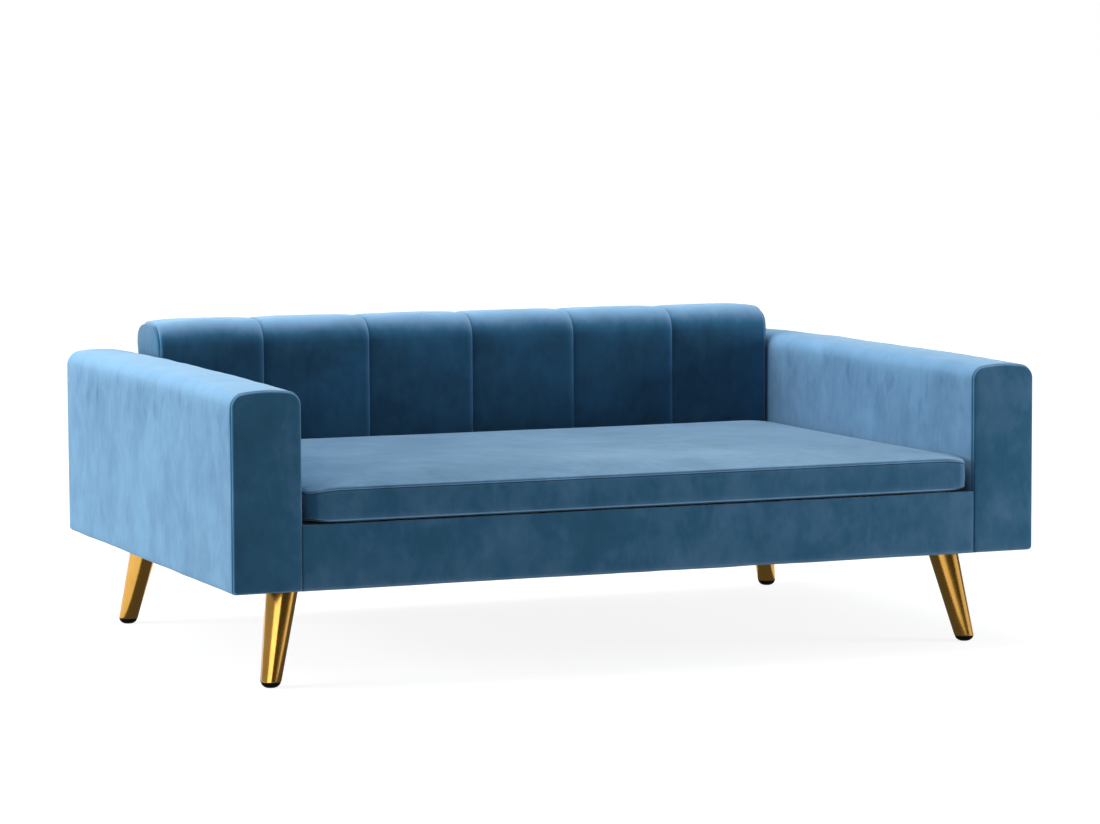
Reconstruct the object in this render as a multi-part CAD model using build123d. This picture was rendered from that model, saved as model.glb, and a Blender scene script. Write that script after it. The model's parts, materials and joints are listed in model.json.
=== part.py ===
"""Dog sofa bed: a box frame on splayed metal legs, two arms, a channelled back and a loose cushion.

Millimetres. X runs along the seat to the right as seen from the front, Y from the front to the rear,
Z up. The origin is on the floor, below the middle of the sofa.
"""
from build123d import *
from math import atan2, cos, degrees, hypot, radians, sin, sqrt
import os

# Overall sizes
overall_width = 1000.0
overall_depth = 690.0
back_top_height = 381.3
arm_top_height = 338.3
seat_height = 187.3
underside_height = 113.3
arm_width = 82.0
back_thickness = 96.0
back_setback = 33.0  # from the arms' rear ends forward to the rear face of the back

# Covers and clearances
velvet_thickness = 1.5
nest_gap = 0.3  # between a cover and what lies under it, and between neighbours that only touch
lip_width = 25.0  # velvet turned in under the frame
seam_chamfer = 0.8
overrun = 5.0  # how far a cutting block passes what it cuts

# Wood of the frame
board_thickness = 3.0
rail_thickness = 18.0
deck_thickness = 9.0
leg_block_thickness = 22.0
leg_block_depth = 88.0
leg_block_reach = 50.0  # from the arm's inner face in under the seat
brace_height = 40.0
arm_post_depth = 30.0
arm_rail_height = 24.0
back_frame_depth = 40.0
back_post_width = 30.0
back_top_rail_height = 22.0
back_bottom_rail_height = 30.0

# Arms
arm_side_foam = 8.0
arm_top_foam = 11.0
arm_end_foam = 6.0
arm_shoulder_radius = 16.0
arm_crown_radius = 150.0
arm_foot_radius = 5.0

# Front rail
rail_foam_thickness = 6.0
rail_edge_radius = 6.0
rail_turn_in = 75.0  # velvet that runs back over the deck, under the cushion

# Back
back_end_clearance = 2.3  # from the arm to the back's end panel
back_channel_count = 6
back_channel_puff = 4.0
back_shoulder_radius = 28.0
back_crown_radius = 260.0
back_foam_over_frame = 39.0
channel_place_shares = (0, 0.09, 0.5, 0.91)  # along a channel, from one seam on
channel_puff_shares = (0, 0.66, 1, 0.66)

# Cushion
cushion_end_gap = 5.5
cushion_back_gap = 6.0
cushion_border_height = 38.7
cushion_crown = 9.3
cushion_corner_radius = 12.0
cushion_front_draw = 2.0
cushion_end_draw = 3.0
cushion_edge_round = 4.0
cushion_seam_inset = 0.8
cushion_cover_thickness = 1.2
border_height_shares = (0, 0.04, 0.5, 1)
border_inset_shares = (1, 0, 0, 0)  # of the edge round
border_seam_shares = (1, 1, 0, 1)  # of the seam inset
crown_inset_shares = (0.03, 0.14, 0.42, 0.8)  # of half the cushion's depth
crown_height_shares = (0.24, 0.58, 0.9, 1)
crown_corner_share = 0.12  # how much the corner radius grows with the inset

# Zip in the cushion's rear side
zip_length = 640.0
zip_slot_height = 10.0
zip_tape_thickness = 1.0
zip_coil_height = 4.0
zip_coil_depth = 1.0
zip_tape_recess = 0.4
zip_end_stop = 14.0  # from the zip's end to the middle of the slider
slider_length = 12.0
slider_height = 9.0
slider_wall = 1.6
slider_loop_length = 8.0
slider_loop_width = 2.4
slider_loop_rise = 1.8
slider_loop_bar = 0.9

# Legs
leg_top_radius = 18.8
leg_foot_radius = 11.8
leg_wall = 1.5
leg_cap_thickness = 3.0
leg_splay_x = 22.6
leg_splay_y = 20.3
front_leg_side_inset = 59.8  # from the sofa's side to the middle of the foot
front_leg_end_inset = 57.1
rear_leg_side_inset = 54.7
rear_leg_end_inset = 70.3
leg_plate_size = 60.0
leg_plate_corner = 8.0
leg_plate_thickness = 1.5
leg_nut_radius = 7.5  # to its corners
leg_nut_height = 8.0
leg_nut_sides = 6
leg_stud_radius = 4.0
leg_stud_length = 20.0
leg_stud_clearance = 0.05
leg_hole_clearance = 0.5  # around the nut's corners in the block
glide_height = 6.6
glide_rim = 0.6  # how much narrower than the leg's foot
glide_flat_radius = 5.0
glide_shoulder_radius = 9.4
glide_shoulder_height = 2.6
glide_stem_height = 9.0
glide_stem_sides = 8
dust_cover_thickness = 0.8
dust_cover_margin = 12.0
dust_cover_leg_gap = 2.0
dust_cover_hole_sides = 12  # of the hole snipped round each leg

# Screws
screw_radius = 2.0
screw_head_radius = 3.6
screw_head_height = 1.5
screw_clearance = 0.1
screw_sides = 8
plate_screw_length = 14.0
plate_screw_inset = 8.0
frame_screw_length = 36.0
block_screw_inset = 9.0
arm_screw_spacing = 180.0
back_screw_spacing = 240.0
arm_screw_count = 3
back_screw_count = 4

# Places that follow from the sizes above
skin = velvet_thickness + nest_gap
half_width = overall_width / 2
front_y = -overall_depth / 2
rear_y = overall_depth / 2
arm_inner_x = half_width - arm_width
arm_middle_x = half_width - arm_width / 2
seat_half_width = arm_inner_x - nest_gap
back_rear_y = rear_y - back_setback
back_front_y = back_rear_y - back_thickness
deck_top = seat_height - skin
rail_top = deck_top - deck_thickness
frame_bottom = underside_height + skin
block_top = frame_bottom + leg_block_thickness
arm_frame_outer_x = half_width - skin - arm_side_foam
arm_frame_inner_x = arm_inner_x + skin + arm_side_foam
arm_frame_top = arm_top_height - skin - arm_top_foam
arm_frame_front_y = front_y + skin + arm_end_foam
arm_frame_rear_y = -arm_frame_front_y
post_inner_x = arm_frame_inner_x + board_thickness
post_outer_x = arm_frame_outer_x - board_thickness
rail_front_y = front_y + skin + rail_foam_thickness
rail_rear_y = back_rear_y - skin
back_half_width = arm_inner_x - back_end_clearance
back_frame_half = back_half_width - skin
back_frame_top = back_top_height - back_foam_over_frame
back_board_y = rail_rear_y - board_thickness
back_post_front_y = back_board_y - back_frame_depth
cushion_half_width = arm_inner_x - cushion_end_gap
cushion_rear_y = back_front_y - cushion_back_gap - back_channel_puff
cushion_bottom = seat_height + nest_gap
cloth_rear_y = back_front_y - back_channel_puff - nest_gap
leg_top = frame_bottom - leg_plate_thickness


class Pen:
    """Draws a closed outline of lines and arcs in the plane that place() gives, and fills it."""

    def __init__(self, place):
        self.place = place
        self.edges = []
        self.start = None
        self.at = None

    def to(self, u, v):
        """A straight line to (u, v)."""
        if self.at is None:
            self.start = (u, v)
        elif hypot(u - self.at[0], v - self.at[1]) > nest_gap / 1000:
            self.edges.append(Line(self.place(*self.at), self.place(u, v)))
        self.at = (u, v)

    def arc(self, middle, end):
        """An arc through middle to end."""
        self.edges.append(ThreePointArc(self.place(*self.at), self.place(*middle), self.place(*end)))
        self.at = end

    def turn(self, u, v, radius, first, last):
        """A line to an arc about (u, v), then the arc between the two angles, in degrees."""
        points = []
        for angle in (first, (first + last) / 2, last):
            points.append((u + radius * cos(radians(angle)), v + radius * sin(radians(angle))))
        self.to(*points[0])
        self.arc(points[1], points[2])

    def face(self):
        """The face inside the outline."""
        self.to(*self.start)
        return make_face(self.edges)


def block(x, y, z):
    """A box between the two ends given for each axis."""
    size = [abs(high - low) for low, high in (x, y, z)]
    middle = [(high + low) / 2 for low, high in (x, y, z)]
    return Pos(*middle) * Box(*size)


def other_side(shape):
    """The same piece on the left half of the sofa."""
    return mirror(shape, about=Plane.YZ)


def save(name, shape):
    """Write one node."""
    export_step(shape, "parts/" + name + ".step")


def prism(radius, sides, bottom, top, top_radius=None):
    """An upright bar with flat sides about the Z axis, which may taper to another radius."""
    ends = [Pos(0, 0, bottom) * RegularPolygon(radius, sides),
            Pos(0, 0, top) * RegularPolygon(top_radius or radius, sides)]
    return loft(ends, ruled=True)


def screw(length, grow=0.0):
    """A countersunk screw that points up, its head at the origin; grow makes its hole."""
    neck = screw_radius + grow
    head = screw_head_radius + grow
    cone = prism(head, screw_sides, 0, screw_head_height, neck)
    return cone + prism(neck, screw_sides, 0, length)


def crowned_top(pen, half, middle, top, shoulder_radius, crown_radius):
    """Right shoulder, crown and left shoulder of a padded top, met at a tangent."""
    shoulder_reach = half - shoulder_radius
    crown_v = top - crown_radius
    rise = sqrt((crown_radius - shoulder_radius) ** 2 - shoulder_reach**2)
    angle = degrees(atan2(rise, shoulder_reach))
    pen.turn(middle + shoulder_reach, crown_v + rise, shoulder_radius, 0, angle)
    pen.turn(middle, crown_v, crown_radius, angle, 180 - angle)
    pen.turn(middle - shoulder_reach, crown_v + rise, shoulder_radius, 180 - angle, 180)


# Arms

def arm_face(y, inset):
    """An arm's section at y, drawn in from the velvet's face by inset."""
    half = arm_width / 2 - inset
    foot = underside_height + inset
    radius = arm_foot_radius - inset
    pen = Pen(lambda u, v: (arm_middle_x + u, y, v))
    pen.turn(half - radius, foot + radius, radius, -90, 0)
    crowned_top(pen, half, 0, arm_top_height - inset, arm_shoulder_radius - inset, arm_crown_radius - inset)
    pen.turn(-half + radius, foot + radius, radius, 180, 270)
    return pen.face()


def arm_bar(first_y, last_y, inset):
    """An arm's section run from first_y to last_y."""
    return extrude(arm_face(first_y, inset), last_y - first_y, dir=(0, 1, 0))


def beside_base(first_x, last_x):
    """The space beside the base, below its deck, where an arm has no inner side."""
    return block((first_x, last_x), (front_y - overrun, back_rear_y),
                 (underside_height - overrun, rail_top + nest_gap))


def arm_cover():
    """Velvet over the outer side, top and inner side, turned in under the frame along both sides."""
    first = front_y + skin
    wrap = arm_bar(first, -first, 0) - arm_bar(first - overrun, overrun - first, velvet_thickness)
    open_foot = block((arm_inner_x + lip_width, half_width - lip_width), (first - overrun, overrun - first),
                      (underside_height - overrun, frame_bottom))
    return wrap - open_foot - beside_base(arm_inner_x - overrun, arm_inner_x + lip_width)


def arm_foam():
    """Foam hood over the arm's frame, which closes its front and rear ends."""
    first = front_y + skin
    hood = arm_bar(first, -first, skin)
    frame = block((arm_frame_inner_x, arm_frame_outer_x), (arm_frame_front_y, arm_frame_rear_y),
                  (underside_height - overrun, arm_frame_top))
    return hood - frame - beside_base(arm_inner_x, arm_frame_inner_x)


def arm_facing():
    """Front facing panel, with its edge eased at the seam."""
    panel = arm_bar(front_y, front_y + velvet_thickness, 0)
    rim = panel.faces().sort_by(Axis.Y)[0].edges()
    return chamfer(rim, seam_chamfer)


def arm_screw_places():
    """Where the arm's screws pass the side rail, along Y."""
    middle = (arm_screw_count - 1) / 2
    return [arm_screw_spacing * (i - middle) for i in range(arm_screw_count)]


def arm_screws(grow=0.0):
    """Screws through the base's right rail and the inner board into the arm's bottom rail."""
    height = block_top + arm_rail_height / 2
    first_x = arm_frame_inner_x - rail_thickness
    return [Pos(first_x, y, height) * Rot(0, 90, 0) * screw(frame_screw_length, grow)
            for y in arm_screw_places()]


def arm_parts():
    """The right arm's pieces by name."""
    ends = (arm_frame_front_y, arm_frame_rear_y)
    posts = (post_inner_x, post_outer_x)
    between = (arm_frame_front_y + arm_post_depth, arm_frame_rear_y - arm_post_depth)
    front_post = block(posts, (ends[0], between[0]), (frame_bottom, arm_frame_top))
    rear_post = block(posts, (between[1], ends[1]), (frame_bottom, arm_frame_top))
    top_rail = block(posts, between, (arm_frame_top - arm_rail_height, arm_frame_top))
    bottom_rail = block(posts, between, (block_top, block_top + arm_rail_height))
    inner_board = block((arm_frame_inner_x, post_inner_x), ends, (block_top, arm_frame_top))
    outer_board = block((post_outer_x, arm_frame_outer_x), ends, (frame_bottom, arm_frame_top))
    facing = arm_facing()
    return {
        "front_post": front_post,
        "rear_post": rear_post,
        "top_rail": top_rail,
        "bottom_rail": bottom_rail - arm_screws(screw_clearance) - block_screws(screw_clearance),
        "inner_board": inner_board - arm_screws(screw_clearance),
        "outer_board": outer_board,
        "foam": arm_foam(),
        "cover": arm_cover(),
        "front_facing": facing,
        "rear_facing": mirror(facing, about=Plane.XZ),
    }


# Base frame

def leg_centre(front):
    """Middle of the right leg's foot and of its top, front or rear."""
    side_inset = front_leg_side_inset if front else rear_leg_side_inset
    foot_x = half_width - side_inset
    foot_y = front_y + front_leg_end_inset if front else rear_y - rear_leg_end_inset
    inward = leg_splay_y if front else -leg_splay_y
    return (foot_x, foot_y), (foot_x - leg_splay_x, foot_y + inward)


def block_span(front):
    """Ends of the right leg block along Y: behind the arm's post, or against the rear rail."""
    if front:
        first = arm_frame_front_y + arm_post_depth
        return first, first + leg_block_depth
    last = rail_rear_y - rail_thickness
    return last - leg_block_depth, last


def block_screws(grow=0.0):
    """Screws up through the right leg blocks into the arm's bottom rail and the side rail."""
    found = []
    for front in (True, False):
        span = block_span(front)
        y = span[1] - block_screw_inset if front else span[0] + block_screw_inset
        for x in (arm_middle_x, arm_frame_inner_x - rail_thickness / 2):
            found.append(Pos(x, y, frame_bottom) * screw(frame_screw_length, grow))
    return found


def plate_screws(front, grow=0.0):
    """The four screws of a right leg plate, their heads flush with the plate."""
    (_, (x, y)) = leg_centre(front)
    reach = leg_plate_size / 2 - plate_screw_inset
    return [Pos(x + i * reach, y + j * reach, leg_top) * screw(plate_screw_length, grow)
            for i in (-1, 1) for j in (-1, 1)]


def leg_block(front):
    """Plank under the joint between seat and arm, bored for the leg plate's nut."""
    (_, (x, y)) = leg_centre(front)
    plank = block((arm_inner_x - leg_block_reach, post_outer_x), block_span(front),
                  (frame_bottom, block_top))
    bore = Pos(x, y, frame_bottom + leg_block_thickness / 2) * Cylinder(
        leg_nut_radius + leg_hole_clearance, leg_block_thickness + overrun)
    return plank - bore - plate_screws(front, screw_clearance) - block_screws(screw_clearance)


def back_screws(grow=0.0):
    """Screws up through the deck into the back's bottom rail."""
    middle = (back_screw_count - 1) / 2
    y = back_post_front_y + rail_thickness / 2
    return [Pos(back_screw_spacing * (i - middle), y, rail_top) * screw(frame_screw_length, grow)
            for i in range(back_screw_count)]


def base_parts():
    """Rails, brace, deck and the right leg blocks."""
    side = (arm_frame_inner_x - rail_thickness, arm_frame_inner_x)
    between = (rail_front_y + rail_thickness, rail_rear_y - rail_thickness)
    across = (-arm_frame_inner_x, arm_frame_inner_x)
    upright = (frame_bottom, rail_top)
    right_rail = block(side, between, (block_top, rail_top))
    right_rail = right_rail - arm_screws(screw_clearance) - block_screws(screw_clearance)
    deck = block((-seat_half_width, seat_half_width), (rail_front_y, rail_rear_y), (rail_top, deck_top))
    return {
        "base_front_rail": block(across, (rail_front_y, between[0]), upright),
        "base_rear_rail": block(across, (between[1], rail_rear_y), upright),
        "base_right_rail": right_rail,
        "base_left_rail": other_side(right_rail),
        "base_centre_brace": block((-rail_thickness / 2, rail_thickness / 2), between,
                                   (rail_top - brace_height, rail_top)),
        "deck_board": deck - back_screws(screw_clearance),
        "front_right_leg_block": leg_block(True),
        "front_left_leg_block": other_side(leg_block(True)),
        "rear_right_leg_block": leg_block(False),
        "rear_left_leg_block": other_side(leg_block(False)),
    }


# Covers of the base

def rail_section(inset, last_y):
    """Section of the front rail's padding from its front face back to last_y."""
    top_radius = rail_edge_radius - inset
    foot_radius = arm_foot_radius - inset
    front = front_y + inset
    top = seat_height - inset
    foot = underside_height + inset
    pen = Pen(lambda u, v: (-seat_half_width, u, v))
    pen.to(last_y, foot)
    pen.to(last_y, top)
    pen.turn(front + top_radius, top - top_radius, top_radius, 90, 180)
    pen.turn(front + foot_radius, foot + foot_radius, foot_radius, 180, 270)
    return pen.face()


def rail_bar(inset, last_y):
    """The front rail's section run from arm to arm."""
    return extrude(rail_section(inset, last_y), 2 * seat_half_width, dir=(1, 0, 0))


def front_rail_cover():
    """Velvet from the deck over the rail's front and in under the frame."""
    across = (-half_width, half_width)
    last_y = front_y + rail_turn_in
    wrap = rail_bar(0, last_y) - rail_bar(velvet_thickness, last_y + overrun)
    short_lip = block(across, (front_y + lip_width, last_y + overrun),
                      (underside_height - overrun, frame_bottom))
    return wrap - short_lip


def dust_cover():
    """Cloth stapled under the frame, with a hole round each leg."""
    heights = (underside_height - dust_cover_thickness, underside_height)
    reach = half_width - dust_cover_margin
    arm_side = arm_inner_x + dust_cover_margin
    cloth = block((-reach, reach), (front_y + dust_cover_margin, back_rear_y - dust_cover_margin), heights)
    for span in ((arm_side, reach), (-reach, -arm_side)):
        cloth = cloth + block(span, (0, rear_y - dust_cover_margin), heights)
    for front in (True, False):
        (_, (x, y)) = leg_centre(front)
        for side_x in (x, -x):
            hole = prism(leg_top_radius + dust_cover_leg_gap, dust_cover_hole_sides,
                         underside_height - overrun, underside_height + overrun)
            cloth = cloth - Pos(side_x, y, 0) * hole
    return cloth


# Back

def back_face(x, inset, puff):
    """The back's section at x; puff swells its front and top."""
    front = back_front_y + inset - puff
    rear = back_rear_y - inset
    top = back_top_height - back_channel_puff / 2 - inset + puff / 2
    pen = Pen(lambda u, v: (x, u, v))
    pen.to(front, deck_top)
    pen.to(rear, deck_top)
    crowned_top(pen, (rear - front) / 2, (rear + front) / 2, top,
                back_shoulder_radius - inset, back_crown_radius - inset)
    return pen.face()


def back_body(inset):
    """The six channels as one body, pulled in at each seam and at both ends."""
    pitch = 2 * back_frame_half / back_channel_count
    faces = []
    for channel in range(back_channel_count):
        for place, puff in zip(channel_place_shares, channel_puff_shares):
            x = -back_frame_half + pitch * (channel + place)
            faces.append(back_face(x, inset, back_channel_puff * puff))
    faces.append(back_face(back_frame_half, inset, 0))
    return loft(faces, ruled=True)


def back_skirt(inset):
    """Rear panel below the deck, down to the underside, as a solid bar of the back's width."""
    radius = arm_foot_radius - inset
    rear = back_rear_y - inset
    foot = underside_height + inset
    first_y = back_rear_y - lip_width
    pen = Pen(lambda u, v: (-back_frame_half, u, v))
    pen.to(first_y, deck_top + overrun)
    pen.to(first_y, foot)
    pen.turn(rear - radius, foot + radius, radius, -90, 0)
    pen.to(rear, deck_top + overrun)
    return extrude(pen.face(), 2 * back_frame_half, dir=(1, 0, 0))


def back_cover():
    """Velvet over the channels and down the rear to the underside."""
    across = (-half_width, half_width)
    wrap = back_body(0) - back_body(velvet_thickness)
    skirt = back_skirt(0) - back_skirt(velvet_thickness)
    above_lip = block(across, (back_rear_y - lip_width - overrun, back_rear_y - velvet_thickness),
                      (frame_bottom, back_top_height))
    return wrap + (skirt - above_lip)


def back_end_panel():
    """Right end panel, with its edge eased at the seam."""
    first_x = back_half_width - velvet_thickness
    panel = extrude(back_face(first_x, 0, 0), velvet_thickness, dir=(1, 0, 0))
    rim = panel.faces().sort_by(Axis.X)[-1].edges()
    rim = rim.filter_by(lambda edge: edge.center().Z > deck_top + overrun)
    return chamfer(rim, seam_chamfer)


def back_parts():
    """The back's frame, foam and covers."""
    depth = (back_post_front_y, back_board_y)
    across = (-back_frame_half, back_frame_half)
    upright = (deck_top, back_frame_top)
    inner = back_frame_half - back_post_width
    between = (-inner, inner)
    right_post = block((inner, back_frame_half), depth, upright)
    bottom_rail = block(between, depth, (deck_top, deck_top + back_bottom_rail_height))
    front_board_y = (back_post_front_y - board_thickness, back_post_front_y)
    frame = block(across, (front_board_y[0], back_rear_y), (deck_top - overrun, back_frame_top))
    panel = back_end_panel()
    return {
        "back_left_post": other_side(right_post),
        "back_right_post": right_post,
        "back_top_rail": block(between, depth, (back_frame_top - back_top_rail_height, back_frame_top)),
        "back_bottom_rail": bottom_rail - back_screws(screw_clearance),
        "back_front_board": block(across, front_board_y, upright),
        "back_rear_board": block(across, (back_board_y, rail_rear_y), upright),
        "back_foam": back_body(skin) - frame,
        "back_cover": back_cover(),
        "back_left_end_panel": other_side(panel),
        "back_right_end_panel": panel,
    }


# Legs

def leg_axis(front, height):
    """The place on a right leg's axis at a height above the floor."""
    (foot, top) = leg_centre(front)
    share = height / leg_top
    return Pos(foot[0] + (top[0] - foot[0]) * share, foot[1] + (top[1] - foot[1]) * share, height)


def leg(front):
    """Tapered tube, closed at the top by a cap with a stud."""
    cap_bottom = leg_top - leg_cap_thickness
    outside = loft([leg_axis(front, glide_height) * Circle(leg_foot_radius),
                    leg_axis(front, leg_top) * Circle(leg_top_radius)], ruled=True)
    hollow = loft([leg_axis(front, glide_height) * Circle(leg_foot_radius - leg_wall),
                   leg_axis(front, cap_bottom) * Circle(leg_top_radius - leg_wall)], ruled=True)
    (_, (x, y)) = leg_centre(front)
    stud = Pos(x, y, leg_top + leg_stud_length / 2) * Cylinder(leg_stud_radius, leg_stud_length)
    return outside - hollow + stud


def glide(front):
    """Black glide: a low dome, flat where it stands, with a stem up inside the leg."""
    (foot, _) = leg_centre(front)
    pen = Pen(lambda u, v: (u, 0, v))
    pen.to(0, 0)
    pen.to(glide_flat_radius, 0)
    pen.to(glide_shoulder_radius, glide_shoulder_height)
    pen.to(leg_foot_radius - glide_rim, glide_height)
    pen.to(0, glide_height)
    dome = Pos(*foot, 0) * revolve(pen.face(), axis=Axis.Z)
    radius = leg_foot_radius - leg_wall - nest_gap
    stem = loft([leg_axis(front, height) * RegularPolygon(radius, glide_stem_sides)
                 for height in (glide_height, glide_height + glide_stem_height)], ruled=True)
    return dome + stem


def leg_plate(front):
    """Steel plate with a welded nut for the leg's stud."""
    (_, (x, y)) = leg_centre(front)
    square = block((-leg_plate_size / 2, leg_plate_size / 2), (-leg_plate_size / 2, leg_plate_size / 2),
                   (0, leg_plate_thickness))
    sheet = chamfer(square.edges().filter_by(Axis.Z), leg_plate_corner)
    nut = prism(leg_nut_radius, leg_nut_sides, leg_plate_thickness, leg_plate_thickness + leg_nut_height)
    bore = Cylinder(leg_stud_radius + leg_stud_clearance, leg_nut_height * 3)
    plate = Pos(x, y, leg_top) * (sheet + nut - bore)
    return plate - plate_screws(front, screw_clearance)


# Cushion

def cushion_face(height, inset, corner_radius):
    """Level section of the cushion: its front and ends draw in between the corners."""
    half = cushion_half_width - inset
    front = front_y + inset
    rear = cushion_rear_y - inset
    radius = corner_radius
    pen = Pen(lambda u, v: (u, v, height))
    pen.turn(half - radius, rear - radius, radius, 0, 90)
    pen.turn(-half + radius, rear - radius, radius, 90, 180)
    pen.arc((-half + cushion_end_draw, (front + rear) / 2), (-half, front + radius))
    pen.turn(-half + radius, front + radius, radius, 180, 270)
    pen.arc((0, front + cushion_front_draw), (half - radius, front))
    pen.turn(half - radius, front + radius, radius, 270, 360)
    pen.arc((half - cushion_end_draw, (front + rear) / 2), (half, rear - radius))
    return pen.face()


def cushion_body(inset):
    """Border and crown of the cushion, drawn in by inset all round."""
    full = cushion_border_height + cushion_crown
    shrink = (full - 2 * inset) / full
    half_depth = (cushion_rear_y - front_y) / 2
    faces = []
    for height, edge, seam in zip(border_height_shares, border_inset_shares, border_seam_shares):
        side = inset + edge * cushion_edge_round + seam * cushion_seam_inset
        level = cushion_bottom + inset + height * cushion_border_height * shrink
        faces.append(cushion_face(level, side, cushion_corner_radius))
    for share, rise in zip(crown_inset_shares, crown_height_shares):
        side = inset + cushion_seam_inset + share * half_depth
        level = cushion_bottom + inset + (cushion_border_height + rise * cushion_crown) * shrink
        radius = cushion_corner_radius + crown_corner_share * share * half_depth
        faces.append(cushion_face(level, side, radius))
    return loft(faces, ruled=True)


def cushion_parts():
    """Core, cover, zip tape and zip slider."""
    middle = cushion_bottom + cushion_border_height / 2
    slot_x = (-zip_length / 2, zip_length / 2)
    slot_z = (middle - zip_slot_height / 2, middle + zip_slot_height / 2)
    wall_inner = cushion_rear_y - cushion_cover_thickness - cushion_seam_inset
    slot = block(slot_x, (wall_inner - overrun, cushion_rear_y + overrun), slot_z)
    tape_face = cushion_rear_y - zip_tape_recess
    tape_back = tape_face - zip_tape_thickness
    tape = block((slot_x[0] + nest_gap, slot_x[1] - nest_gap), (tape_back, tape_face),
                 (slot_z[0] + nest_gap, slot_z[1] - nest_gap))
    coil = block((slot_x[0] + nest_gap, slot_x[1] - nest_gap), (tape_face, tape_face + zip_coil_depth),
                 (middle - zip_coil_height / 2, middle + zip_coil_height / 2))
    channel_y = tape_face + zip_coil_depth + nest_gap
    channel_z = zip_coil_height / 2 + nest_gap
    slider_face = channel_y + slider_wall
    half_length = slider_length / 2
    body = block((-half_length, half_length), (tape_face + nest_gap, slider_face),
                 (middle - slider_height / 2, middle + slider_height / 2))
    channel = block((-slider_length, slider_length), (tape_face, channel_y),
                    (middle - channel_z, middle + channel_z))
    loop_x = slider_loop_length / 2
    loop_z = (middle - slider_loop_width / 2, middle + slider_loop_width / 2)
    loop = block((-loop_x, loop_x), (slider_face, slider_face + slider_loop_rise), loop_z)
    eye = block((slider_loop_bar - loop_x, loop_x - slider_loop_bar),
                (slider_face, slider_face + slider_loop_rise - slider_loop_bar), loop_z)
    slider = Pos(zip_length / 2 - zip_end_stop, 0, 0) * (body - channel + (loop - eye))
    core_back = block(slot_x, (tape_back - nest_gap, cushion_rear_y), slot_z)
    core = cushion_body(cushion_cover_thickness + nest_gap) - core_back
    return {
        "cushion_core": core,
        "cushion_cover": cushion_body(0) - cushion_body(cushion_cover_thickness) - slot,
        "zip_tape": tape + coil,
        "zip_slider": slider,
    }


def build():
    """Write every node."""
    os.makedirs("parts", exist_ok=True)
    for name, shape in base_parts().items():
        save(name, shape)
    for name, shape in arm_parts().items():
        save("right_arm_" + name, shape)
        save("left_arm_" + name, other_side(shape))
    for name, shape in back_parts().items():
        save(name, shape)
    for name, shape in cushion_parts().items():
        save(name, shape)
    save("front_rail_cover", front_rail_cover())
    save("front_rail_foam", rail_bar(skin, rail_front_y))
    save("deck_cloth", block((-seat_half_width, seat_half_width),
                             (front_y + rail_turn_in + nest_gap, cloth_rear_y),
                             (deck_top, seat_height)))
    save("dust_cover", dust_cover())
    plates = []
    small_screws = []
    long_screws = list(back_screws())
    for shape in arm_screws() + block_screws():
        long_screws += [shape, other_side(shape)]
    for front, row in ((True, "front"), (False, "rear")):
        save(row + "_right_leg", leg(front))
        save(row + "_left_leg", other_side(leg(front)))
        save(row + "_right_glide", glide(front))
        save(row + "_left_glide", other_side(glide(front)))
        plates += [leg_plate(front), other_side(leg_plate(front))]
        for shape in plate_screws(front):
            small_screws += [shape, other_side(shape)]
    save("leg_plates", Compound(children=plates))
    save("leg_plate_screws", Compound(children=small_screws))
    save("frame_screws", Compound(children=long_screws))


build()
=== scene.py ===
"""Looks of the dog sofa bed: velvet arms, back and cushion, gold legs, and the cloths and zip out of sight.

Metres. X runs along the seat to the right as seen from the front, Y from the front to the rear, Z up.
"""

import json
from contextlib import contextmanager
from math import asin, cos, exp, pi, radians, sin, tan, tanh

import bmesh
import bpy
from mathutils import Matrix, Vector, noise


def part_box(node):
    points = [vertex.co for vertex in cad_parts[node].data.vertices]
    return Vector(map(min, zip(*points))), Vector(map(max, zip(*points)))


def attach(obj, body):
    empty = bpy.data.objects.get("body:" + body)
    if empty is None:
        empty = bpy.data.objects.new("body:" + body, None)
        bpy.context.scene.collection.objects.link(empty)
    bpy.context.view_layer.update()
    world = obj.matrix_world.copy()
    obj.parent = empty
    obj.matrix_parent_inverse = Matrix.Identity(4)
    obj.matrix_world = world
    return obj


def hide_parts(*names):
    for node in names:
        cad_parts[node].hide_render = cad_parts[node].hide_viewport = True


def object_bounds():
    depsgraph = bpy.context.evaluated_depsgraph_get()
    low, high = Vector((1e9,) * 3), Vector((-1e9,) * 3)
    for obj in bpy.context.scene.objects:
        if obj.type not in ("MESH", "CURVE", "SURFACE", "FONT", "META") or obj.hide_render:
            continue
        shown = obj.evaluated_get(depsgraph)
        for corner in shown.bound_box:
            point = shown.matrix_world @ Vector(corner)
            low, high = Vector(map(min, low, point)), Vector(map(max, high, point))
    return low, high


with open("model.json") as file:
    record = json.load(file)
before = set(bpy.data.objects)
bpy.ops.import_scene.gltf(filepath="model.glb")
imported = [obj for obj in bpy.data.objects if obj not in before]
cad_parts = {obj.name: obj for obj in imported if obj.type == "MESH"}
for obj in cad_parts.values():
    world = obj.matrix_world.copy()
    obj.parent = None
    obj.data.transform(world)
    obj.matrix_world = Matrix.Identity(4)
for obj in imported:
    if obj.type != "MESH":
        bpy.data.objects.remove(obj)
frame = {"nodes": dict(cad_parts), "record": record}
construction_low, construction_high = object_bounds()
construction_arm_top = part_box("right_arm_cover")[1].z
back_half_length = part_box("back_cover")[1].x
cushion_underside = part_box("cushion_cover")[0].z
corners = ("front_left", "front_right", "rear_left", "rear_right")

# Camera
camera_place = (-1.71205, -4.21345, 0.65871)
camera_turn = 0.38956  # to the right of straight ahead, in radians
camera_dip = 0.08511
camera_roll = -0.005
camera_lens_mm = 121.70
sensor_width_mm = 36.0
camera_reach = 50

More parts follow.
